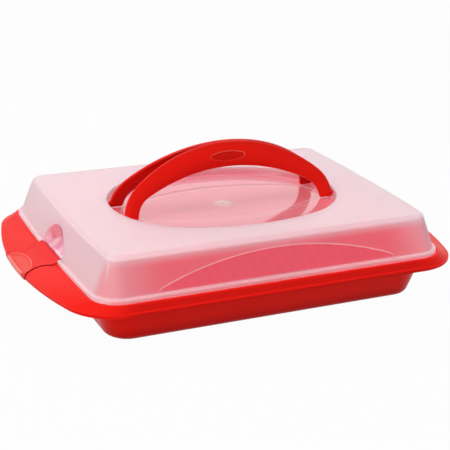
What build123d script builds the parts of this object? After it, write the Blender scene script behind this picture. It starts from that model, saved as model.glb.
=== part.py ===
from build123d import *

import os
from math import asin, atan, atan2, degrees, hypot, sqrt

# Rectangular cake carrier: a tapered tray with a drooping rim and two crescent
# carrying wings, a stepped lid that drops into the rim, two folding handle halves
# in an oval well in the lid's top, and a snap latch over each wing.
# Millimetres. X runs along the length, +Z is up, the origin is under the tray's centre.

# Tray tub
tub_length = 355.4
tub_width = 257.2
tub_corner = 24.4
tub_flare = 17.3          # how far each wall leans out on its way up to the ledge
tub_wall = 2.2
tub_floor = 2.4
tub_foot_fillet = 9.0
foot_ring_width = 16.0
foot_ring_height = 0.8
ledge_z = 50.4            # the flat ledge that the lid's flange sits on
ledge_thick = 2.4

# Rim, which droops from a crest round the lid to a beaded lip
crest_height = 1.5        # crest above the ledge
crest_width = 2.5
lip_z = 41.4              # underside of the lip
lip_height = 3.0
lip_bead = 0.9            # how far the lip stands out from the skirt
rim_half_width = 161.7
rim_wall = 2.2
wing_reach = 240.5
wing_end_radius = 398.0
wing_corner = 57.0

# Lid
lid_seat_gap = 0.3
lid_side_gap = 1.0
flange_length = 407.0
flange_width = 301.4
flange_corner = 30.0
end_bow_radius = 2400.0    # the lid's short ends bow out slightly, and the tray's crest with them
flange_thick = 5.6
flange_overhang = 3.5
flange_bevel = 1.2
dome_height = 38.6        # from the flange to the lid's top
dome_lean = 14.4          # how far each wall leans in over that height
dome_edge_fillet = 5.5
lid_wall = 1.8

# Arched panel on the two long walls of the lid
arch_half_length = 144.0
arch_height = 45.3
arch_centre_z = 40.0
arch_end_radius = 24.0
arch_step = 0.6

# Oval well in the lid's top
well_half_length = 131.7
well_half_width = 96.0
well_end_radius = 89.0
well_depth = 9.2
well_draft = 1.2
well_edge_bevel = 1.0
ring_half_length = 119.0
ring_half_width = 54.3
ring_end_radius = 34.0
ring_step = 0.6
gate_radius = 3.5
gate_height = 0.5

# Handle halves, drawn flat as they lie when folded out
handle_half_length = 126.0
handle_height = 74.2
handle_end_radius = 44.0
handle_inner_half_length = 110.5
handle_inner_height = 46.5
handle_inner_end_radius = 25.0
handle_thick = 4.0
handle_edge_bevel = 0.8
handle_fold_offset = 18.9  # from the well's middle to the feet when folded
foot_overhang = 4.5        # foot below the pivot
foot_corner = 2.5
pivot_floor_gap = 0.5
pin_radius = 1.8
pin_clearance = 0.06
pin_reach = 5.0            # pin inside its socket
shoulder_radius = 2.7
shoulder_gap = 2.2         # between the shoulder and the well's wall at the pivot
pin_root = 6.0             # pin inside the foot
socket_wall = 2.0
halves_gap = 0.5           # between the two halves' tops when raised
badge_half_length = 20.5
badge_half_height = 5.2
badge_height = 58.5        # its middle above the foot
badge_end_radius = 2.6
badge_depth = 0.8

# Snap latches
latch_half_width = 31.5
latch_tip_half_width = 40.0
latch_side_bow = 0.34152   # sagitta of the waisted side over its chord
latch_thick = 2.6
latch_proud = 0.6          # top of the latch above the wing
latch_gap = 0.8            # round the sides
latch_floor_gap = 0.45
latch_lip = 2.0
latch_lip_out = 0.9        # lip past the wing's outline
barrel_radius = 2.0
barrel_gap = 0.4
hinge_in = 3.0             # hinge axis, inward from the flange's edge
hinge_up = 2.1             # hinge axis above the flange's underside
latch_pin_radius = 1.2
latch_pin_clearance = 0.06
latch_pin_reach = 4.0
ear_wall = 1.6
pad_half_width = 27.0
pad_share = 0.56           # how far the thumb dish reaches in over the wing
pad_end_share = 0.696379   # end radius of the dish over its reach past the rim
pad_rim = 3.0
pad_depth = 1.2
niche_half_width = 34.0
niche_height = 27.4        # up the slope of the wall
niche_depth = 13.0
niche_ramp = 13.0          # radius of the curve up which the niche's floor meets its back

# Worked out from the sizes above
crest_z = ledge_z + crest_height
lip_top = lip_z + lip_height
crest_reach = flange_length / 2 + lid_side_gap + crest_width
crest_half_width = flange_width / 2 + lid_side_gap + crest_width
skirt_reach = wing_reach - lip_bead
wing_slope = (crest_z - lip_top) / (skirt_reach - crest_reach)
tub_lean = degrees(atan(tub_flare / ledge_z))
flange_z = ledge_z + lid_seat_gap
dome_z = flange_z + flange_thick
lid_top = dome_z + dome_height
dome_width = flange_width - 2 * flange_overhang
dome_inner = flange_overhang + lid_wall
well_floor = lid_top - well_depth
pivot_z = well_floor + pivot_floor_gap + hypot(foot_overhang, handle_thick / 2)
pivot_y = handle_fold_offset + foot_overhang
pivot_wall_x = well_half_length - well_end_radius + sqrt(well_end_radius ** 2 - pivot_y ** 2)
hinge_x = flange_length / 2 - hinge_in
hinge_z = flange_z + hinge_up
over = 60.0                # run-out of cutting bodies past what they cut


def wing_z(reach):
    """Height of the wing's top face at a distance from the tray's middle."""
    return crest_z - (reach - crest_reach) * wing_slope


def outline(reach, half_width, corner, end_radius, inset=0.0):
    """Closed outline with straight sides, rounded corners and bowed ends."""
    corner_y = half_width - corner
    bow_x = reach - end_radius
    corner_x = bow_x + sqrt((end_radius - corner) ** 2 - corner_y ** 2)
    turn = degrees(atan2(corner_y, corner_x - bow_x))
    with BuildSketch() as plan:
        with BuildLine():
            Line((-corner_x, half_width), (corner_x, half_width))
            Line((-corner_x, -half_width), (corner_x, -half_width))
            CenterArc((bow_x, 0), end_radius, -turn, 2 * turn)
            CenterArc((-bow_x, 0), end_radius, 180 - turn, 2 * turn)
            CenterArc((corner_x, corner_y), corner, turn, 90 - turn)
            CenterArc((-corner_x, corner_y), corner, 90, 90 - turn)
            CenterArc((-corner_x, -corner_y), corner, 180 + turn, 90 - turn)
            CenterArc((corner_x, -corner_y), corner, -90, 90 - turn)
        make_face()
        if inset:
            offset(amount=-inset, mode=Mode.REPLACE)
    return plan.sketch


def lid_plan(inset=0.0):
    """Plan of the lid, set in from its flange's edge, or out where negative."""
    return outline(
        flange_length / 2 - inset,
        flange_width / 2 - inset,
        flange_corner - inset,
        end_bow_radius - inset,
    )


def oval(half_length, half_width, end_radius):
    """Oval of four arcs, with its two ends on the given radius."""
    end_x = half_length - end_radius
    side_radius = (end_x ** 2 + half_width ** 2 - end_radius ** 2) / (
        2 * (half_width - end_radius)
    )
    side_y = half_width - side_radius
    turn = degrees(atan2(-side_y, end_x))
    with BuildSketch() as plan:
        with BuildLine():
            CenterArc((end_x, 0), end_radius, -turn, 2 * turn)
            CenterArc((0, side_y), side_radius, turn, 180 - 2 * turn)
            CenterArc((-end_x, 0), end_radius, 180 - turn, 2 * turn)
            CenterArc((0, -side_y), side_radius, 180 + turn, 180 - 2 * turn)
        make_face()
    return plan.sketch


def rim_outline(inset=0.0):
    """Outline of the rim's lip, with the wings bowed out at both ends."""
    return outline(wing_reach, rim_half_width, wing_corner, wing_end_radius, inset)


def latch_plan(grow=0.0):
    """Plan of the right-hand latch, waisted and flared to its tip, grown on its sides."""
    inner = hinge_x - barrel_radius - grow
    shoulder = crest_reach + crest_width
    flare = latch_tip_half_width - latch_half_width
    side_chord = (Vector(wing_reach, flare) - Vector(shoulder, 0)).length
    tip = wing_reach + latch_tip_half_width
    with BuildSketch() as plan:
        with BuildLine():
            Line((inner, 0), (inner, latch_half_width + grow))
            Line((inner, latch_half_width + grow), (shoulder, latch_half_width + grow))
            SagittaArc(
                (shoulder, latch_half_width + grow),
                (wing_reach, latch_tip_half_width + grow),
                -latch_side_bow * side_chord,
            )
            Line((wing_reach, latch_tip_half_width + grow), (tip, latch_tip_half_width + grow))
            Line((tip, latch_tip_half_width + grow), (tip, 0))
            mirror(about=Plane.XZ)
        make_face()
    return plan.sketch


# Latch section along the wing
run_start = crest_reach + crest_width
tip_inset = latch_lip - latch_lip_out


def latch_top(reach):
    """Height of the latch's top face at a distance from the tray's middle."""
    return wing_z(reach) + latch_proud


def latch_under(reach):
    """Height of the latch's underside at a distance from the tray's middle."""
    return latch_top(reach) - latch_thick


# Run-out of the sections along the wing, past its lip and below its slope
section_reach = wing_reach + over
section_base = latch_under(section_reach) - over


def below_line(gap):
    """Section below the latch's underside, level at the hinge and sloping along the wing."""
    with BuildSketch(Plane.XZ) as section:
        with BuildLine():
            Polyline(
                (0, section_base),
                (section_reach, section_base),
                (section_reach, latch_under(section_reach) - gap),
                (run_start, latch_under(run_start) - gap),
                (0, latch_under(run_start) - gap),
                close=True,
            )
        make_face()
    return section.sketch


# What stays of the wing under the latch: below its floor and inside its lip
with BuildPart() as notch_keep:
    extrude(rim_outline(tip_inset + latch_floor_gap), amount=lid_top)
    extrude(below_line(latch_floor_gap), amount=over, both=True, mode=Mode.INTERSECT)

# The notch that the latch lies in
with BuildPart() as notch:
    extrude(latch_plan(latch_gap), amount=lid_top)
    add(notch_keep.part, mode=Mode.SUBTRACT)

# The space under the bed that closes the wing below the notch
with BuildPart() as bed_hollow:
    extrude(rim_outline(tip_inset + latch_floor_gap + rim_wall), amount=lid_top)
    extrude(below_line(latch_floor_gap + rim_wall), amount=over, both=True, mode=Mode.INTERSECT)

# The rim before it is hollowed
with BuildPart() as rim_solid:
    with BuildSketch(Plane.XY.offset(lip_top)):
        add(rim_outline(lip_bead))
    with BuildSketch(Plane.XY.offset(crest_z)):
        add(lid_plan(-lid_side_gap - crest_width))
    loft(ruled=True)
    with BuildSketch(Plane.XY.offset(lip_z)):
        add(rim_outline())
    extrude(amount=lip_height)

# The bed itself
with BuildPart() as notch_bed:
    add(rim_solid.part)
    extrude(latch_plan(latch_gap + rim_wall), amount=lid_top, mode=Mode.INTERSECT)
    add(bed_hollow.part, mode=Mode.SUBTRACT)

# The open underside of the rim
with BuildPart() as rim_hollow:
    with BuildSketch(Plane.XY.offset(lip_z - over)):
        add(rim_outline(rim_wall + lip_bead))
    extrude(amount=over + lip_height / 2)
    with BuildSketch(Plane.XY.offset(lip_z + lip_height / 2)):
        add(rim_outline(rim_wall + lip_bead))
    with BuildSketch(Plane.XY.offset(ledge_z - ledge_thick)):
        add(
            outline(
                crest_reach + rim_wall, crest_half_width - rim_wall, flange_corner, end_bow_radius
            )
        )
    loft(ruled=True)

# The tub's hollow
floor_growth = 2 * tub_flare * tub_floor / ledge_z
with BuildPart() as tub_hollow:
    with BuildSketch(Plane.XY.offset(tub_floor)):
        RectangleRounded(
            tub_length - 2 * tub_wall + floor_growth,
            tub_width - 2 * tub_wall + floor_growth,
            tub_corner - tub_wall,
        )
    extrude(amount=crest_z, taper=-tub_lean)
    chamfer(tub_hollow.edges().group_by(Axis.Z)[0], (tub_foot_fillet - tub_wall) / 2)

# Base tray
with BuildPart() as base_tray:
    add(rim_solid.part)
    add(rim_hollow.part, mode=Mode.SUBTRACT)
    add(notch_bed.part)
    mirror(notch_bed.part, about=Plane.YZ)
    # tub
    with BuildSketch(Plane.XY):
        RectangleRounded(tub_length, tub_width, tub_corner)
    extrude(amount=ledge_z, taper=-tub_lean)
    fillet(base_tray.edges().group_by(Axis.Z)[0], tub_foot_fillet)
    add(tub_hollow.part, mode=Mode.SUBTRACT)
    # ledge for the lid inside the crest
    with BuildSketch(Plane.XY.offset(ledge_z)):
        add(lid_plan(-lid_side_gap))
    extrude(amount=crest_height, mode=Mode.SUBTRACT)
    add(notch.part, mode=Mode.SUBTRACT)
    mirror(notch.part, about=Plane.YZ, mode=Mode.SUBTRACT)
    # shallow panel inside the foot ring
    with BuildSketch(Plane.XY):
        RectangleRounded(
            tub_length - 2 * (tub_foot_fillet + foot_ring_width),
            tub_width - 2 * (tub_foot_fillet + foot_ring_width),
            tub_corner,
        )
    extrude(amount=foot_ring_height, mode=Mode.SUBTRACT)
base_tray.part.label = "base_tray"

# The well in the lid's top, and the same shape with the lid's wall round it
def well_plan(grow=0.0):
    """Plan of the well at the lid's top, grown on all sides."""
    return oval(well_half_length + grow, well_half_width + grow, well_end_radius + grow)


with BuildPart() as well:
    with BuildSketch(Plane.XY.offset(well_floor)):
        add(well_plan(-well_draft))
    with BuildSketch(Plane.XY.offset(lid_top)):
        add(well_plan())
    loft(ruled=True)
    with BuildSketch(Plane.XY.offset(well_floor)):
        add(oval(ring_half_length, ring_half_width, ring_end_radius))
    extrude(amount=-ring_step)
    with BuildSketch(Plane.XY.offset(well_floor - ring_step)):
        Circle(gate_radius)
    extrude(amount=gate_height, mode=Mode.SUBTRACT)

with BuildPart() as well_skin:
    with BuildSketch(Plane.XY.offset(well_floor - ring_step - lid_wall)):
        add(well_plan(lid_wall))
    extrude(amount=well_depth + ring_step + lid_wall)

# Niche in the lid's short wall over the latch, a round scoop whose floor curves up
niche_x = flange_length / 2 - flange_overhang
niche_ring = (niche_height ** 2 + niche_half_width ** 2) / (2 * niche_height)
niche_radius = (niche_ring ** 2 + niche_depth ** 2) / (2 * niche_depth)
niche_centre = Plane(
    origin=(niche_x, 0, dome_z), x_dir=(0, 1, 0), z_dir=(dome_height, 0, dome_lean)
).from_local_coords((0, niche_height - niche_ring, niche_radius - niche_depth))


def scoop(grow):
    """Round scoop out of the short wall, grown by a wall thickness for its skin."""
    with BuildPart() as hollow:
        with BuildSketch(Plane.XZ):
            with Locations((niche_x, dome_z + niche_ramp)):
                Circle(niche_ramp + grow)
                Rectangle(niche_ramp + grow, over, align=(Align.MAX, Align.MIN))
            with Locations((niche_x, dome_z - grow)):
                Rectangle(over, over, align=(Align.MIN, Align.MIN))
        extrude(amount=over, both=True)
        with Locations(niche_centre):
            Sphere(niche_radius + grow, mode=Mode.INTERSECT)
    return hollow.part


# Hinge of the right-hand latch in the lid
hinge_plane = Plane(origin=(hinge_x, 0, hinge_z), x_dir=(1, 0, 0), z_dir=(0, 1, 0))
trough_half_width = latch_half_width + barrel_gap
bore_half_length = trough_half_width + latch_pin_reach + barrel_gap
ear_half_length = bore_half_length + ear_wall
trough_radius = barrel_radius + barrel_gap

with BuildPart() as niche:
    add(scoop(0.0))
    with BuildSketch(hinge_plane):
        Circle(trough_radius)
    extrude(amount=trough_half_width, both=True)
    with BuildSketch(Plane.XY.offset(ledge_z)):
        with Locations((hinge_x - trough_radius, 0)):
            Rectangle(over, 2 * trough_half_width, align=(Align.MIN, Align.CENTER))
    extrude(amount=dome_z + trough_radius - ledge_z)

with BuildPart() as niche_skin:
    add(scoop(lid_wall))
    with BuildSketch(hinge_plane):
        Circle(trough_radius + lid_wall)
    extrude(amount=ear_half_length, both=True)

with BuildPart() as hinge_bores:
    with BuildSketch(hinge_plane):
        Circle(latch_pin_radius + latch_pin_clearance)
    extrude(amount=bore_half_length, both=True)

# Sockets in the well's ends for the handle pins
socket_depth = pin_reach + barrel_gap
with BuildPart() as sockets:
    with BuildSketch(Plane.YZ.offset(pivot_wall_x - socket_wall)):
        with Locations((pivot_y, pivot_z), (-pivot_y, pivot_z)):
            Circle(pin_radius + pin_clearance + socket_wall)
    extrude(amount=socket_wall + socket_depth + socket_wall)

with BuildPart() as socket_bores:
    with BuildSketch(Plane.YZ.offset(pivot_wall_x - 2 * socket_wall)):
        with Locations((pivot_y, pivot_z), (-pivot_y, pivot_z)):
            Circle(pin_radius + pin_clearance)
    extrude(amount=2 * socket_wall + socket_depth)

# The lid's inside
with BuildPart() as lid_hollow:
    with BuildSketch(Plane.XY.offset(ledge_z)):
        add(lid_plan(dome_inner))
    extrude(amount=dome_z - ledge_z)
    with BuildSketch(Plane.XY.offset(dome_z)):
        add(lid_plan(dome_inner))
    with BuildSketch(Plane.XY.offset(lid_top - lid_wall)):
        add(lid_plan(dome_inner + dome_lean * (1 - lid_wall / dome_height)))
    loft(ruled=True)
    chamfer(lid_hollow.edges().group_by(Axis.Z)[-1], dome_edge_fillet - lid_wall)
    add(well_skin.part, mode=Mode.SUBTRACT)
    add(niche_skin.part, mode=Mode.SUBTRACT)
    mirror(niche_skin.part, about=Plane.YZ, mode=Mode.SUBTRACT)
    add(sockets.part, mode=Mode.SUBTRACT)
    mirror(sockets.part, about=Plane.YZ, mode=Mode.SUBTRACT)

# Plane of the front wall, for its arched panel
wall_plane = Plane(
    origin=(0, -dome_width / 2, dome_z),
    x_dir=(1, 0, 0),
    z_dir=(0, -dome_height, dome_lean),
)
with BuildPart() as arch_panel:
    with BuildSketch(wall_plane):
        with Locations((0, arch_centre_z - dome_z)):
            add(oval(arch_half_length, arch_height, arch_end_radius))
        with Locations((0, 0)):
            Rectangle(
                2 * over + flange_length,
                dome_height,
                align=(Align.CENTER, Align.MIN),
                mode=Mode.INTERSECT,
            )
    extrude(amount=arch_step, both=True)

# Lid
with BuildPart() as lid:
    with BuildSketch(Plane.XY.offset(flange_z)):
        add(lid_plan())
    extrude(amount=flange_thick)
    chamfer(lid.edges().group_by(Axis.Z)[0], flange_bevel)
    chamfer(lid.edges().group_by(Axis.Z)[-1], flange_bevel)
    with BuildSketch(Plane.XY.offset(dome_z)):
        add(lid_plan(flange_overhang))
    with BuildSketch(Plane.XY.offset(lid_top)):
        add(lid_plan(flange_overhang + dome_lean))
    loft(ruled=True)
    fillet(lid.edges().group_by(Axis.Z)[-1], dome_edge_fillet)
    add(well.part, mode=Mode.SUBTRACT)
    chamfer(lid.edges(Select.LAST).group_by(Axis.Z)[-1], well_edge_bevel)
    add(lid_hollow.part, mode=Mode.SUBTRACT)
    add(niche.part, mode=Mode.SUBTRACT)
    mirror(niche.part, about=Plane.YZ, mode=Mode.SUBTRACT)
    add(hinge_bores.part, mode=Mode.SUBTRACT)
    mirror(hinge_bores.part, about=Plane.YZ, mode=Mode.SUBTRACT)
    add(socket_bores.part, mode=Mode.SUBTRACT)
    mirror(socket_bores.part, about=Plane.YZ, mode=Mode.SUBTRACT)
    add(arch_panel.part, mode=Mode.SUBTRACT)
    mirror(arch_panel.part, about=Plane.XZ, mode=Mode.SUBTRACT)
lid.part.label = "lid"

# One handle half, flat in the well as it lies when folded to the front
plate_z = pivot_z - handle_thick / 2
foot_start = handle_half_length - pin_root
with BuildPart() as flat_half:
    with BuildSketch(Plane.XY.offset(plate_z)):
        with Locations((0, -handle_fold_offset)):
            add(oval(handle_half_length, handle_height, handle_end_radius))
            add(
                oval(handle_inner_half_length, handle_inner_height, handle_inner_end_radius),
                mode=Mode.SUBTRACT,
            )
            Rectangle(
                2 * handle_half_length,
                handle_height,
                align=(Align.CENTER, Align.MIN),
                mode=Mode.SUBTRACT,
            )
        fillet(vertices().group_by(Axis.Y)[-1], foot_corner)
    extrude(amount=handle_thick)
    chamfer(flat_half.edges().group_by(Axis.Z)[0], handle_edge_bevel)
    chamfer(flat_half.edges().group_by(Axis.Z)[-1], handle_edge_bevel)
    # a low shoulder and a pin on the outside of each foot
    for side in (-1, 1):
        foot_plane = Plane(
            origin=(side * foot_start, -pivot_y, pivot_z), x_dir=(0, 1, 0), z_dir=(side, 0, 0)
        )
        with BuildSketch(foot_plane):
            Circle(shoulder_radius)
        extrude(amount=pivot_wall_x - shoulder_gap - foot_start)
        with BuildSketch(foot_plane):
            Circle(pin_radius)
        extrude(amount=pivot_wall_x + pin_reach - foot_start)
    # oval recess on the face that is outside when raised
    with BuildSketch(Plane.XY.offset(plate_z)):
        with Locations((0, -handle_fold_offset - badge_height)):
            add(oval(badge_half_length, badge_half_height, badge_end_radius))
    extrude(amount=badge_depth, mode=Mode.SUBTRACT)

# Raised, the halves lean together until their tops all but meet
half_reach = handle_height - foot_overhang
lean = degrees(
    asin((pivot_y - halves_gap / 2) / hypot(half_reach, handle_thick / 2))
    - atan2(handle_thick / 2, half_reach)
)
pivot_axis = Axis((0, -pivot_y, pivot_z), (1, 0, 0))
with BuildPart() as handle_front:
    add(flat_half.part.rotate(pivot_axis, -90 - lean))
handle_front.part.label = "handle_front"

with BuildPart() as handle_back:
    mirror(handle_front.part, about=Plane.XZ)
handle_back.part.label = "handle_back"

# Right-hand latch: barrel and pins in the lid, plate over the wing, lip outside it
pad_length = pad_share * (wing_reach - run_start)
pad_end_radius = pad_end_share * (pad_length - pad_rim)
pad_plane = Plane(
    origin=(wing_reach, 0, latch_top(wing_reach)),
    x_dir=(1, 0, -wing_slope),
    z_dir=(wing_slope, 0, 1),
)
with BuildPart() as latch_core:
    extrude(rim_outline(tip_inset), amount=lid_top)
    extrude(below_line(0.0), amount=over, both=True, mode=Mode.INTERSECT)

with BuildPart() as latch_right:
    with BuildSketch(Plane.XY.offset(lip_z - latch_proud)):
        add(latch_plan())
    extrude(amount=lid_top)
    extrude(rim_outline(-latch_lip_out), amount=lid_top, mode=Mode.INTERSECT)
    with BuildSketch(Plane.XZ):
        with BuildLine():
            Polyline(
                (hinge_x, section_base),
                (section_reach, section_base),
                (section_reach, latch_top(section_reach)),
                (run_start + latch_lip, latch_top(run_start + latch_lip)),
                (hinge_x, hinge_z + barrel_radius),
                close=True,
            )
        make_face()
    extrude(amount=over, both=True, mode=Mode.INTERSECT)
    add(latch_core.part, mode=Mode.SUBTRACT)
    with BuildSketch(hinge_plane):
        Circle(barrel_radius)
    extrude(amount=latch_half_width, both=True)
    with BuildSketch(hinge_plane):
        Circle(latch_pin_radius)
    extrude(amount=trough_half_width + latch_pin_reach, both=True)
    # thumb dish
    with BuildSketch(pad_plane):
        with Locations((-pad_rim, 0)):
            add(oval(pad_half_width, pad_length - pad_rim, pad_end_radius).rotate(Axis.Z, 90))
            Rectangle(
                pad_length,
                2 * pad_half_width,
                align=(Align.MIN, Align.CENTER),
                mode=Mode.SUBTRACT,
            )
    extrude(amount=-pad_depth, mode=Mode.SUBTRACT)
latch_right.part.label = "latch_right"

with BuildPart() as latch_left:
    mirror(latch_right.part, about=Plane.YZ)
latch_left.part.label = "latch_left"

os.makedirs("parts", exist_ok=True)
for piece in (base_tray, lid, handle_front, handle_back, latch_left, latch_right):
    export_step(piece.part, f"parts/{piece.part.label}.step")
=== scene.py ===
"""Rectangular cake carrier: red tray, frosted lid, folding handle and snap latches."""

from collections import namedtuple
from math import cos, pi, radians, sin

import bpy
from mathutils import Matrix, Vector

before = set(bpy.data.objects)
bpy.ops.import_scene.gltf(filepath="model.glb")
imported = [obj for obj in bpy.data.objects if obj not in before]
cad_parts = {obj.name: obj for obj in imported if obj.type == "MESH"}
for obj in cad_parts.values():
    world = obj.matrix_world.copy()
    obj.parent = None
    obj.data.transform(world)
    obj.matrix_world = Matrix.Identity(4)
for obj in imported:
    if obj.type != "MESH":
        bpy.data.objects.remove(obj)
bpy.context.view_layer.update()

# ---------------------------------------------------------------- view and light

VIEW_AZIMUTH = radians(-25.69)
VIEW_ELEVATION = radians(20.51)
VIEW_ROLL = radians(2.12)
VIEW_DISTANCE = 1.3211
VIEW_AIM = Vector((0.0, 0.0, 0.06))
LENS = 93.62               # millimetres
SHIFT = (0.0063, -0.0034)
FAR_CLIP = 50.0

WHITE = (1.0, 1.0, 1.0, 1.0)
SKY_LIGHT = 0.42           # what the white surroundings give the object
FLOOR_SIZE = 14.0
FLOOR_TONE = 0.55
FLOOR_ROUGHNESS = 0.7
FLOOR_WHITE = 0.97         # how far the floor is lifted to the backdrop's white

LAMPS = {                  # place, point looked at, size, watts
    "top_light": ((-0.3, 0.2, 2.4), (0.0, 0.0, 0.05), (2.0, 1.6), 22.0),
    "key_light": ((-2.2, -0.5, 1.3), (0.0, 0.0, 0.05), (2.0, 1.8), 8.4),
    "front_light": ((-1.2, -1.5, 0.8), (0.0, 0.0, 0.06), (1.7, 1.3), 9.6),
    "back_light": ((0.6, 2.2, 1.6), (0.0, 0.0, 0.1), (1.8, 0.8), 5.0),
}


def view_camera():
    """Camera on a long lens, turned a little about its own line of sight."""
    level = cos(VIEW_ELEVATION)
    back = Vector((sin(VIEW_AZIMUTH) * level, -cos(VIEW_AZIMUTH) * level, sin(VIEW_ELEVATION)))
    right = Vector((cos(VIEW_AZIMUTH), sin(VIEW_AZIMUTH), 0.0))
    up = back.cross(right)
    roll = Matrix.Rotation(VIEW_ROLL, 3, back)
    data = bpy.data.cameras.new("view_camera")
    data.lens = LENS
    data.shift_x, data.shift_y = SHIFT
    data.clip_end = FAR_CLIP
    camera = bpy.data.objects.new("view_camera", data)
    axes = Matrix((roll @ right, roll @ up, back)).transposed().to_4x4()
    camera.matrix_world = Matrix.Translation(VIEW_AIM + back * VIEW_DISTANCE) @ axes
    bpy.context.collection.objects.link(camera)
    bpy.context.scene.camera = camera


def area_light(name, place, aim, size, watts):
    """Soft rectangular lamp that looks at a point."""
    data = bpy.data.lights.new(name, "AREA")
    data.shape = "RECTANGLE"
    data.size, data.size_y = size
    data.energy = watts
    lamp = bpy.data.objects.new(name, data)
    lamp.location = place
    lamp.rotation_euler = (Vector(aim) - Vector(place)).to_track_quat("-Z", "Y").to_euler()
    bpy.context.collection.objects.link(lamp)


def backdrop_rays(nodes, links):
    """1 for rays that show the backdrop as such: straight, mirrored or through glass."""
    path = nodes.new("ShaderNodeLightPath")
    seen = path.outputs["Is Camera Ray"]
    for kind in ("Is Transmission Ray", "Is Glossy Ray"):
        either = nodes.new("ShaderNodeMath")
        either.operation = "MAXIMUM"
        links.new(seen, either.inputs[0])
        links.new(path.outputs[kind], either.inputs[1])
        seen = either.outputs[0]
    return seen


def mix_shaders(nodes, links, share, first, second, surface):
    """Sends a share of the second shader and the rest of the first to a surface."""
    mix = nodes.new("ShaderNodeMixShader")
    links.new(share, mix.inputs[0])
    links.new(first.outputs[0], mix.inputs[1])
    links.new(second.outputs[0], mix.inputs[2])
    links.new(mix.outputs[0], surface)


def white_surroundings():
    """World that is white to look at and lights the object at a plain level."""
    world = bpy.data.worlds.new("studio_world")
    bpy.context.scene.world = world
    world.use_nodes = True
    nodes, links = world.node_tree.nodes, world.node_tree.links
    nodes.clear()
    surface = nodes.new("ShaderNodeOutputWorld").inputs["Surface"]
    backgrounds = []
    for strength in (SKY_LIGHT, 1.0):
        background = nodes.new("ShaderNodeBackground")
        background.inputs["Color"].default_value = WHITE
        background.inputs["Strength"].default_value = strength
        backgrounds.append(background)
    mix_shaders(nodes, links, backdrop_rays(nodes, links), *backgrounds, surface)


def white_floor():
    """Pale floor that keeps a light shadow of the object."""
    bpy.ops.object.select_all(action="DESELECT")
    bpy.ops.mesh.primitive_plane_add(size=FLOOR_SIZE, location=(0.0, 0.0, 0.0))
    floor = bpy.context.object
    floor.name = "floor"
    material = bpy.data.materials.new("floor_white")
    material.use_nodes = True
    nodes, links = material.node_tree.nodes, material.node_tree.links
    shader = nodes["Principled BSDF"]
    shader.inputs["Base Color"].default_value = (FLOOR_TONE, FLOOR_TONE, FLOOR_TONE, 1.0)
    shader.inputs["Roughness"].default_value = FLOOR_ROUGHNESS
    shader.inputs["Specular IOR Level"].default_value = 0.0
    white = nodes.new("ShaderNodeEmission")
    white.inputs["Color"].default_value = WHITE
    lift = nodes.new("ShaderNodeMath")
    lift.operation = "MULTIPLY"
    lift.inputs[1].default_value = FLOOR_WHITE
    links.new(backdrop_rays(nodes, links), lift.inputs[0])
    surface = nodes["Material Output"].inputs["Surface"]
    mix_shaders(nodes, links, lift.outputs[0], shader, white, surface)
    floor.data.materials.append(material)


def studio():
    """White surroundings, pale floor and broad soft lamps."""
    white_surroundings()
    white_floor()
    for name, settings in LAMPS.items():
        area_light(name, *settings)


# ---------------------------------------------------------------- sums in node groups


class Field:
    """Number that changes over a surface. Sums on it add maths nodes to its group."""

    def __init__(self, tree, socket):
        self.tree = tree
        self.socket = socket

    def maths(self, operation, *values):
        """Result of one maths node on fields and plain numbers."""
        node = self.tree.nodes.new("ShaderNodeMath")
        node.operation = operation
        for place, value in zip(node.inputs, values):
            if isinstance(value, Field):
                self.tree.links.new(value.socket, place)
            else:
                place.default_value = value
        return Field(self.tree, node.outputs[0])

    def __add__(self, other):
        return self.maths("ADD", self, other)

    def __sub__(self, other):
        return self.maths("SUBTRACT", self, other)

    def __rsub__(self, other):
        return self.maths("SUBTRACT", other, self)

    def __mul__(self, other):
        return self.maths("MULTIPLY", self, other)

    def __truediv__(self, other):
        return self.maths("DIVIDE", self, other)

    def __abs__(self):
        return self.maths("ABSOLUTE", self)

    def __lt__(self, other):
        return self.maths("LESS_THAN", self, other)

    def __gt__(self, other):
        return self.maths("GREATER_THAN", self, other)

    def at_least(self, other):
        """The larger of the two."""
        return self.maths("MAXIMUM", self, other)

    def at_most(self, other):
        """The smaller of the two."""
        return self.maths("MINIMUM", self, other)

    def ramp(self, start, end, low, high):
        """Smooth change from low to high while the field goes from start to end."""
        node = self.tree.nodes.new("ShaderNodeMapRange")
        node.interpolation_type = "SMOOTHSTEP"
        self.tree.links.new(self.socket, node.inputs["Value"])
        limits = {"From Min": start, "From Max": end, "To Min": low, "To Max": high}
        for socket, value in limits.items():
            node.inputs[socket].default_value = value
        return Field(self.tree, node.outputs["Result"])

    def rise(self, start, end, top=1.0):
        """Smooth change from 0 to the top."""
        return self.ramp(start, end, 0.0, top)

    def fall(self, start, end, top=1.0):
        """Smooth change from the top to 0."""
        return self.ramp(start, end, top, 0.0)

    def band(self, half_width):
        """1 where the field is zero, fading out over a half-width on both sides."""
        return abs(self).fall(0.0, half_width)

    def blend(self, first, second):
        """Colour that goes from the first to the second as the field goes from 0 to 1."""
        node = self.tree.nodes.new("ShaderNodeMix")
        node.data_type = "RGBA"
        share, low, high = (node.inputs[index] for index in (0, 6, 7))
        self.tree.links.new(self.socket, share)
        for socket, color in ((low, first), (high, second)):
            if isinstance(color, tuple):
                socket.default_value = color
            else:
                self.tree.links.new(color, socket)
        return node.outputs[2]


# x, y and z on the object, and how far a point lies out along it and aside across it
Place = namedtuple("Place", "x y z out aside")


def places(tree):
    """Where each point of the surface lies on the object, in metres."""
    coordinates = tree.nodes.new("ShaderNodeTexCoord")
    split = tree.nodes.new("ShaderNodeSeparateXYZ")
    tree.links.new(coordinates.outputs["Object"], split.inputs[0])
    x, y, z = (Field(tree, socket) for socket in split.outputs)
    return Place(x, y, z, abs(x), abs(y))


def diagonal(a, b):
    """Length of the diagonal over two distances."""
    squares = a * a + b * b
    return squares.maths("SQRT", squares)


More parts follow.
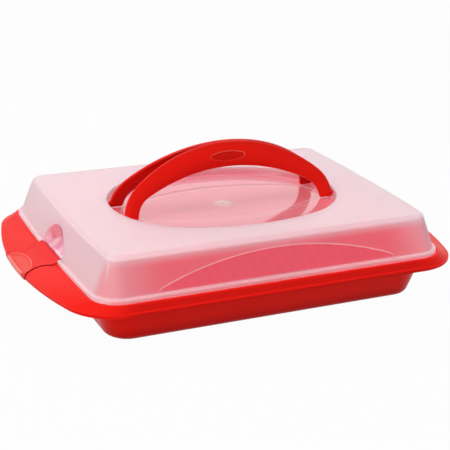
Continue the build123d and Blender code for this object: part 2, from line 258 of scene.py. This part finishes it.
def oval_distance(along, across, half_length, half_width, end_radius):
    """Distance outside an oval of four arcs, negative inside it."""
    end = half_length - end_radius
    waist = half_width - end_radius
    drop = (end ** 2 - waist ** 2) / (2 * waist)    # to the centres of the side arcs
    along, across = abs(along), abs(across)
    deep = across + drop
    side = diagonal(along, deep) - (half_width + drop)
    tip = diagonal(along - end, across) - end_radius
    at_end = along * (drop / end) > deep
    return tip * at_end + side * (1.0 - at_end)


def new_group(name, inputs, outputs):
    """Empty shader node group, with the sockets that it is given and those it puts out."""
    tree = bpy.data.node_groups.new(name, "ShaderNodeTree")
    for socket, value in inputs.items():
        kind = "NodeSocketColor" if isinstance(value, tuple) else "NodeSocketFloat"
        made = tree.interface.new_socket(socket, in_out="INPUT", socket_type=kind)
        made.default_value = value
    for socket, kind in outputs.items():
        tree.interface.new_socket(socket, in_out="OUTPUT", socket_type="NodeSocket" + kind)
    given = tree.nodes.new("NodeGroupInput").outputs
    result = tree.nodes.new("NodeGroupOutput").inputs
    return tree, given, result


# ---------------------------------------------------------------- tray and latches
# Here and for the handle and lid, sizes are in metres. A pair is where a smooth change starts
# and ends, followed by its top, or by the values at both ends, where they aren't 0 and 1. An
# oval is its half length, half width and end radius.

# Painted shade in the gaps beside the latches, on the tray and the latches alike
GAP_SHADE = 0.9
WAIST_CENTRE = (0.22334, 0.0418)    # of the arc in a latch's waisted side, out and aside
WAIST_RADIUS = 0.01705
WAIST_START = (0.2075, 0.2085)

# Painted shade on the tray's long rims, in its latch gaps and at its foot
TRAY_GAP = 0.0019
LONG_RIM = (0.1530, 0.1560)
RIM_CORNER = (0.150, 0.200)         # the rim turns into the wing here
RIM_SHADE = 0.45
BEAD_ASIDE = 0.1600                 # lighter line along the rim's bead, where the painted rim shade is left out
BEAD_HALF_WIDTH = 0.0009
FOOT_HEIGHT = 0.020
FOOT_SHADE = 0.55

# Painted shade in the latch's side gaps; painted highlight on the thumb dish's rim, in its hollow
# and along the lip
LATCH_GAP = 0.0014
DISH_EDGE = 0.2375                  # straight edge of the thumb dish
DISH_SLOPE = 0.97                   # cosine of the plate's slope there
DISH_OVAL = (0.027, 0.01436, 0.010)
DISH_RIM = 0.0010
# painted lighter tone in the thumb dish's hollow
DISH_PAINTED_LIGHT = 0.35
DISH_HOLLOW = (-0.004, 0.0)
LIP_CENTRE = -0.1575                # of the lip's long arc, out
LIP_RADIUS = 0.398
LIP_BAND = (-0.0022, -0.0010)
LIP_END = (0.024, 0.028)


def side_gap(at, half_width):
    """Painted shade in the gap between a latch's waisted sides and the wing."""
    centre_out, centre_aside = WAIST_CENTRE
    reach = diagonal(at.out - centre_out, at.aside - centre_aside)
    gap = (reach - WAIST_RADIUS).band(half_width) * (at.aside < centre_aside)
    return gap * at.out.rise(*WAIST_START) * GAP_SHADE


def tray_painted_shade():
    """Painted shade on the tray: a deeper tone on its steep long rims, in the gaps beside the
    latches and at its foot.
    """
    tones = {"Color": WHITE, "Deep": WHITE}
    tree, given, result = new_group("tray_painted_shade", tones, {"Color": "Color"})
    at = places(tree)
    rim = at.aside.rise(*LONG_RIM) * at.out.fall(*RIM_CORNER)
    bead = (at.aside - BEAD_ASIDE).band(BEAD_HALF_WIDTH)
    shade = rim * (1.0 - bead) * RIM_SHADE
    shade = shade.at_least(side_gap(at, TRAY_GAP))
    shade = shade.at_least(at.z.fall(0.0, FOOT_HEIGHT, FOOT_SHADE))
    tree.links.new(shade.blend(given["Color"], given["Deep"]), result["Color"])


def latch_painted_light():
    """Latch's painted shade in the gaps at its waisted sides, and painted highlight on the rim and
    in the hollow of its thumb dish and along its lip.
    """
    tones = {"Color": WHITE, "Deep": WHITE, "Pale": WHITE}
    tree, given, result = new_group("latch_painted_light", tones, {"Color": "Color"})
    at = places(tree)
    across = (DISH_EDGE - at.out) / DISH_SLOPE
    dish = oval_distance(at.y, across, *DISH_OVAL)
    inner = across > 0.0
    rim = dish.band(DISH_RIM) * inner
    hollow = dish.fall(*DISH_HOLLOW, DISH_PAINTED_LIGHT) * inner
    edge = diagonal(at.out - LIP_CENTRE, at.y) - LIP_RADIUS
    lip = edge.rise(*LIP_BAND) * at.aside.fall(*LIP_END)
    color = side_gap(at, LATCH_GAP).blend(given["Color"], given["Deep"])
    color = hollow.blend(color, given["Pale"])
    color = rim.at_least(lip).blend(color, given["Pale"])
    tree.links.new(color, result["Color"])


# ---------------------------------------------------------------- handle

HANDLE_LEAN = radians(17.75)        # of a raised half, from upright
ARCH_FOOT = 0.0868                  # where the handle's arch starts
ARCH_OVAL = (0.11825, 0.06035, 0.0345)
CROWN = -24.0                       # metres of height per square metre off the middle line
PIVOT_ASIDE = 0.0234
PIVOT_HEIGHT = 0.0911
# Painted shade on the inner face and inside the sunk badge; painted highlight along the badge's
# upper edge
OUTER_FACE = (0.0, 0.0008)
INNER_FACE = (-0.0012, -0.0004)
INNER_SHADE = 0.38
BADGE_HEIGHT = 0.0585               # up the arch
BADGE_OVAL = (0.0205, 0.0052, 0.0026)
BADGE_EDGE = 0.0010
BADGE_SUNK = (-0.0012, 0.0)
BADGE_SHADE = 0.34
BADGE_LIGHT = (0.0555, 0.0610, 0.10, 0.70)


def handle_form():
    """Handle's crowned face (a bump), painted shade on its inner face and inside its oval badge,
    and a painted highlight on the badge's upper edge.
    """
    tones = {"Color": WHITE, "Deep": WHITE, "Pale": WHITE}
    tree, given, result = new_group("handle_form", tones, {"Color": "Color", "Form": "Float"})
    at = places(tree)
    height = (at.z - ARCH_FOOT) / cos(HANDLE_LEAN)
    middle = oval_distance(at.x, height, *ARCH_OVAL)
    badge = oval_distance(at.x, height - BADGE_HEIGHT, *BADGE_OVAL)
    depth = (at.aside - PIVOT_ASIDE) * cos(HANDLE_LEAN) + (at.z - PIVOT_HEIGHT) * sin(HANDLE_LEAN)
    outer = depth.rise(*OUTER_FACE)
    # painted shade inside the badge and on the inner face, painted highlight on the badge's upper
    # edge
    sunk = badge.fall(*BADGE_SUNK, BADGE_SHADE) * outer
    edge = badge.band(BADGE_EDGE) * height.ramp(*BADGE_LIGHT) * outer
    shade = sunk.at_least(depth.fall(*INNER_FACE, INNER_SHADE))
    color = shade.blend(given["Color"], given["Deep"])
    tree.links.new(edge.blend(color, given["Pale"]), result["Color"])
    tree.links.new((middle * middle * CROWN).socket, result["Form"])


# ---------------------------------------------------------------- lid

# Painted tint standing for the red tray seen through each long wall, and painted shade at the
# flange's foot
LONG_WALL = (0.1200, 0.1330)
LONG_WALL_ENDS = (0.120, 0.185, 1.0, 0.52)
LONG_WALL_TOP = (0.081, 0.0946)
LONG_WALL_FOOT = (0.0560, 0.0580)
LONG_WALL_SHARE = 0.86
FLANGE_FOOT = (0.0530, 0.0552, 0.45)
FLANGE_ASIDE = (0.1460, 0.1475)

PANEL_ASIDE = (0.1320, 0.1345)
PANEL_FOOT = 0.04107                # where the arched panel's oval has its middle
PANEL_SLOPE = 0.937                 # cosine of the wall's slope
PANEL_OVAL = (0.144, 0.0453, 0.024)
# Painted highlight along the arched panel's edge
PANEL_LINE = 0.0011
PANEL_LINE_FOOT = (0.0570, 0.0600)
# The painted tint is deeper inside the arched panel, with faint ribs
PANEL_INSIDE = (-0.0012, 0.0)
PANEL_SHADE = 0.12
RIB_SHADE = 0.014
RIB_PITCH = 0.01309
RIB_SLANT = 0.5

# Painted glint on each upright corner
CORNER_OFFSET = 0.0528              # out less aside, on the lid's upright corners
GLINT_HALF_WIDTH = 0.0035
GLINT_HEIGHT = (0.062, 0.088)
GLINT_OUT = (0.170, 0.175)

WELL_HEIGHT = (0.0865, 0.0945)
WELL_ASIDE = (0.098, 0.100)
WELL_OUT = (0.134, 0.137)
# Painted highlight lines on the ring step and inside it
RING_OVAL = (0.119, 0.0543, 0.034)
RING_LINE = 0.0010
SECOND_RING_INSET = 0.007
SECOND_RING_LINE = 0.0016
SECOND_RING_SHARE = 0.6
GATE_MARK = (0.0020, 0.0170)

SHORT_WALL_OUT = 0.200              # at the flange
SHORT_WALL_FOOT = 0.0563
SHORT_WALL_LEAN = 0.373             # metres inward per metre up
NICHE_DEPTH = (0.0003, 0.0012)
NICHE_OUT = (0.178, 0.182)
NICHE_ASIDE = (0.034, 0.036)
# Painted shade in the niche's deepest middle and along its fins
NICHE_TOP = (0.0835, 0.0855)
NICHE_MIDDLE = (0.0030, 0.0100)
FIN_ASIDE = 0.0195
FIN_HALF_WIDTH = 0.0060
FIN_TOP = (0.0640, 0.0740, 0.7)

FROSTED_ROUGHNESS = 0.42
POLISHED_ROUGHNESS = 0.09
POLISHED_COAT = 0.5


def panel_distance(at):
    """Distance outside the arched panel of a long wall."""
    return oval_distance(at.x, (at.z - PANEL_FOOT) / PANEL_SLOPE, *PANEL_OVAL)


def long_wall_share(at, panel):
    """How much of the painted red-tray tint a long wall shows, deeper inside its arched panel with
    faint ribs, and painted shade at the flange foot.
    """
    wall = at.aside.rise(*LONG_WALL) * at.out.ramp(*LONG_WALL_ENDS)
    wall = wall * at.z.fall(*LONG_WALL_TOP) * at.z.rise(*LONG_WALL_FOOT)
    phase = (at.x + at.z * RIB_SLANT) * (2 * pi / RIB_PITCH)
    depth = phase.maths("SINE", phase) * RIB_SHADE + PANEL_SHADE
    inside = panel.fall(*PANEL_INSIDE) * depth * at.aside.rise(*PANEL_ASIDE)
    foot = at.z.fall(*FLANGE_FOOT) * at.aside.rise(*FLANGE_ASIDE)
    return (wall * LONG_WALL_SHARE + inside.at_least(foot)).at_most(1.0)


def wall_lines(at, panel):
    """Painted highlight line over each arched panel and painted glint on each upright corner."""
    arch = panel.band(PANEL_LINE) * at.aside.rise(*PANEL_ASIDE)
    arch = arch * at.z.rise(*PANEL_LINE_FOOT)
    glint = (at.out - at.aside - CORNER_OFFSET).band(GLINT_HALF_WIDTH)
    glint = glint * at.z.rise(*GLINT_HEIGHT) * at.out.rise(*GLINT_OUT)
    return arch.at_least(glint)


def well_share(at):
    """1 in the handle's polished well."""
    return at.z.fall(*WELL_HEIGHT) * at.aside.fall(*WELL_ASIDE) * at.out.fall(*WELL_OUT)


def well_lines(at):
    """Painted highlight on the ring step and a faint second painted line inside it, and the gate
    mark on the well's floor.
    """
    ring = oval_distance(at.x, at.y, *RING_OVAL)
    second = (ring + SECOND_RING_INSET).band(SECOND_RING_LINE) * SECOND_RING_SHARE
    gate = diagonal(at.x, at.y).fall(*GATE_MARK)
    return (ring.band(RING_LINE).at_least(second) + gate).at_most(1.0)


def niche_share(at):
    """1 on the hollow over each latch, which lies inside the short wall's plane."""
    wall_out = SHORT_WALL_OUT - (at.z - SHORT_WALL_FOOT) * SHORT_WALL_LEAN
    niche = (wall_out - at.out).rise(*NICHE_DEPTH) * at.out.rise(*NICHE_OUT)
    return niche * at.aside.fall(*NICHE_ASIDE) * at.z.fall(*NICHE_TOP)


def niche_lobes(at):
    """Painted shade in the middle of a niche, where it is deepest, and along the fin on each side
    of it.
    """
    fin = (at.aside - FIN_ASIDE).band(FIN_HALF_WIDTH) * at.z.fall(*FIN_TOP)
    return at.aside.fall(*NICHE_MIDDLE).at_least(fin)


def lid_regions():
    """Where the lid shows the red tray behind it as a painted tint, with painted highlight lines
    and painted shade in its niches, and where its mould was polished.
    """
    tones = {"Pale": WHITE, "Long Wall": WHITE, "Well": WHITE, "Niche": WHITE, "Niche Lobes": WHITE}
    kinds = {"Color": "Color", "Roughness": "Float", "Gloss": "Float"}
    tree, given, result = new_group("lid_regions", tones, kinds)
    at = places(tree)
    panel = panel_distance(at)
    well = well_share(at)
    niche = niche_share(at)
    color = long_wall_share(at, panel).blend(given["Pale"], given["Long Wall"])
    color = wall_lines(at, panel).blend(color, WHITE)
    color = well.blend(color, given["Well"])
    color = (well_lines(at) * well).blend(color, WHITE)
    color = niche.blend(color, niche_lobes(at).blend(given["Niche"], given["Niche Lobes"]))
    polished = well.at_least(niche)
    roughness = polished.ramp(0.0, 1.0, FROSTED_ROUGHNESS, POLISHED_ROUGHNESS)
    tree.links.new(color, result["Color"])
    tree.links.new(roughness.socket, result["Roughness"])
    tree.links.new((polished * POLISHED_COAT).socket, result["Gloss"])


# ---------------------------------------------------------------- moulded surface

CLOUD = (14.0, 3.0)                 # noise scale and detail
CLOUD_CHANGE = 0.08
SHEEN = (60.0, 4.0)
SHEEN_CHANGE = 0.10
PEEL = (420.0, 2.0)
PEEL_DEPTH = 0.0004
IOR = 1.49
RED_SPECULAR = 0.09
FROSTED_SPECULAR = 0.5
FROSTED_TRANSMISSION = 0.62
COAT_ROUGHNESS = 0.04
LIGHT_THROUGH_LID = (0.95, 0.72, 0.73, 1.0)


def noise(tree, scale, detail):
    """Soft mottling that stays on the object, from 0 to 1."""
    coordinates = tree.nodes.new("ShaderNodeTexCoord")
    node = tree.nodes.new("ShaderNodeTexNoise")
    node.inputs["Scale"].default_value = scale
    node.inputs["Detail"].default_value = detail
    tree.links.new(coordinates.outputs["Object"], node.inputs["Vector"])
    return Field(tree, node.outputs["Fac"])


def moulded_skin():
    """Surface of a smooth moulding: slight cloudiness, fine sheen changes, orange peel."""
    settings = {"Color": WHITE, "Roughness": 0.3, "Peel": 0.05, "Form": 0.0}
    kinds = {"Color": "Color", "Roughness": "Float", "Normal": "Vector"}
    tree, given, result = new_group("moulded_skin", settings, kinds)
    links = tree.links

    tint = tree.nodes.new("ShaderNodeHueSaturation")
    links.new(given["Color"], tint.inputs["Color"])
    links.new(((noise(tree, *CLOUD) - 0.5) * CLOUD_CHANGE + 1.0).socket, tint.inputs["Value"])
    links.new(tint.outputs["Color"], result["Color"])

    spread = (noise(tree, *SHEEN) - 0.5) * SHEEN_CHANGE
    links.new((spread + Field(tree, given["Roughness"])).socket, result["Roughness"])

    form = tree.nodes.new("ShaderNodeBump")
    form.inputs["Distance"].default_value = 1.0
    links.new(given["Form"], form.inputs["Height"])
    peel = tree.nodes.new("ShaderNodeBump")
    peel.inputs["Distance"].default_value = PEEL_DEPTH
    links.new(given["Peel"], peel.inputs["Strength"])
    links.new(noise(tree, *PEEL).socket, peel.inputs["Height"])
    links.new(form.outputs["Normal"], peel.inputs["Normal"])
    links.new(peel.outputs["Normal"], result["Normal"])


def moulded_plastic(name, marks, roughness, peel, **tones):
    """Opaque moulding whose tones go through its piece's group of painted shade, highlights and
    region tones, then the shared skin.
    """
    material = bpy.data.materials.new(name)
    material.use_nodes = True
    nodes, links = material.node_tree.nodes, material.node_tree.links
    shader = nodes["Principled BSDF"]
    shader.inputs["IOR"].default_value = IOR
    shader.inputs["Specular IOR Level"].default_value = RED_SPECULAR
    piece = nodes.new("ShaderNodeGroup")
    piece.name = marks
    piece.node_tree = bpy.data.node_groups[marks]
    for socket, tone in tones.items():
        piece.inputs[socket.replace("_", " ").title()].default_value = (*tone, 1.0)
    skin = nodes.new("ShaderNodeGroup")
    skin.node_tree = bpy.data.node_groups["moulded_skin"]
    skin.inputs["Roughness"].default_value = roughness
    skin.inputs["Peel"].default_value = peel
    for output in piece.outputs:
        if output.name in skin.inputs:
            links.new(output, skin.inputs[output.name])
    links.new(skin.outputs["Color"], shader.inputs["Base Color"])
    links.new(skin.outputs["Roughness"], shader.inputs["Roughness"])
    links.new(skin.outputs["Normal"], shader.inputs["Normal"])
    return material


def frosted_plastic(name, peel, **tones):
    """Translucent frosted moulding that lets soft light into the carrier."""
    material = moulded_plastic(name, "lid_regions", FROSTED_ROUGHNESS, peel, **tones)
    nodes, links = material.node_tree.nodes, material.node_tree.links
    shader = nodes["Principled BSDF"]
    shader.inputs["Specular IOR Level"].default_value = FROSTED_SPECULAR
    shader.inputs["Transmission Weight"].default_value = FROSTED_TRANSMISSION
    shader.inputs["Coat Roughness"].default_value = COAT_ROUGHNESS
    links.new(nodes["lid_regions"].outputs["Gloss"], shader.inputs["Coat Weight"])
    clear = nodes.new("ShaderNodeBsdfTransparent")
    clear.inputs["Color"].default_value = LIGHT_THROUGH_LID
    shadow = nodes.new("ShaderNodeLightPath").outputs["Is Shadow Ray"]
    surface = nodes["Material Output"].inputs["Surface"]
    mix_shaders(nodes, links, shadow, shader, clear, surface)
    return material


def dress(material, *nodes):
    """Puts a finish on carried-over nodes."""
    for node in nodes:
        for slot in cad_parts[node].material_slots:
            slot.material = material


view_camera()
studio()
moulded_skin()
lid_regions()
tray_painted_shade()
latch_painted_light()
handle_form()

tray_red = moulded_plastic(
    "tray_red",
    "tray_painted_shade",
    roughness=0.34,
    peel=0.05,
    color=(0.95, 0.010, 0.004),
    # deep is the painted shade colour
    deep=(0.40, 0.001, 0.001),
)
lid_frosted = frosted_plastic(
    "lid_frosted",
    peel=0.06,
    pale=(0.96, 0.89, 0.93),
    # long_wall is the painted tint of the red tray seen through the wall
    long_wall=(0.99, 0.19, 0.29),
    well=(0.98, 0.52, 0.60),
    niche=(0.98, 0.78, 0.88),
    # niche_lobes is the niche's painted shade colour
    niche_lobes=(0.90, 0.38, 0.60),
)
handle_red = moulded_plastic(
    "handle_red",
    "handle_form",
    roughness=0.30,
    peel=0.05,
    color=(0.88, 0.008, 0.003),
    # deep is the painted shade colour, pale the painted highlight colour
    deep=(0.34, 0.001, 0.001),
    pale=(0.98, 0.20, 0.15),
)
latch_red = moulded_plastic(
    "latch_red",
    "latch_painted_light",
    roughness=0.32,
    peel=0.05,
    color=(0.90, 0.010, 0.005),
    # deep is the painted shade colour, pale the painted highlight colour
    deep=(0.40, 0.001, 0.001),
    pale=(0.98, 0.22, 0.17),
)
dress(tray_red, "base_tray")
dress(lid_frosted, "lid")
dress(handle_red, "handle_front", "handle_back")
dress(latch_red, "latch_left", "latch_right")

bpy.context.scene.view_settings.view_transform = "Standard"
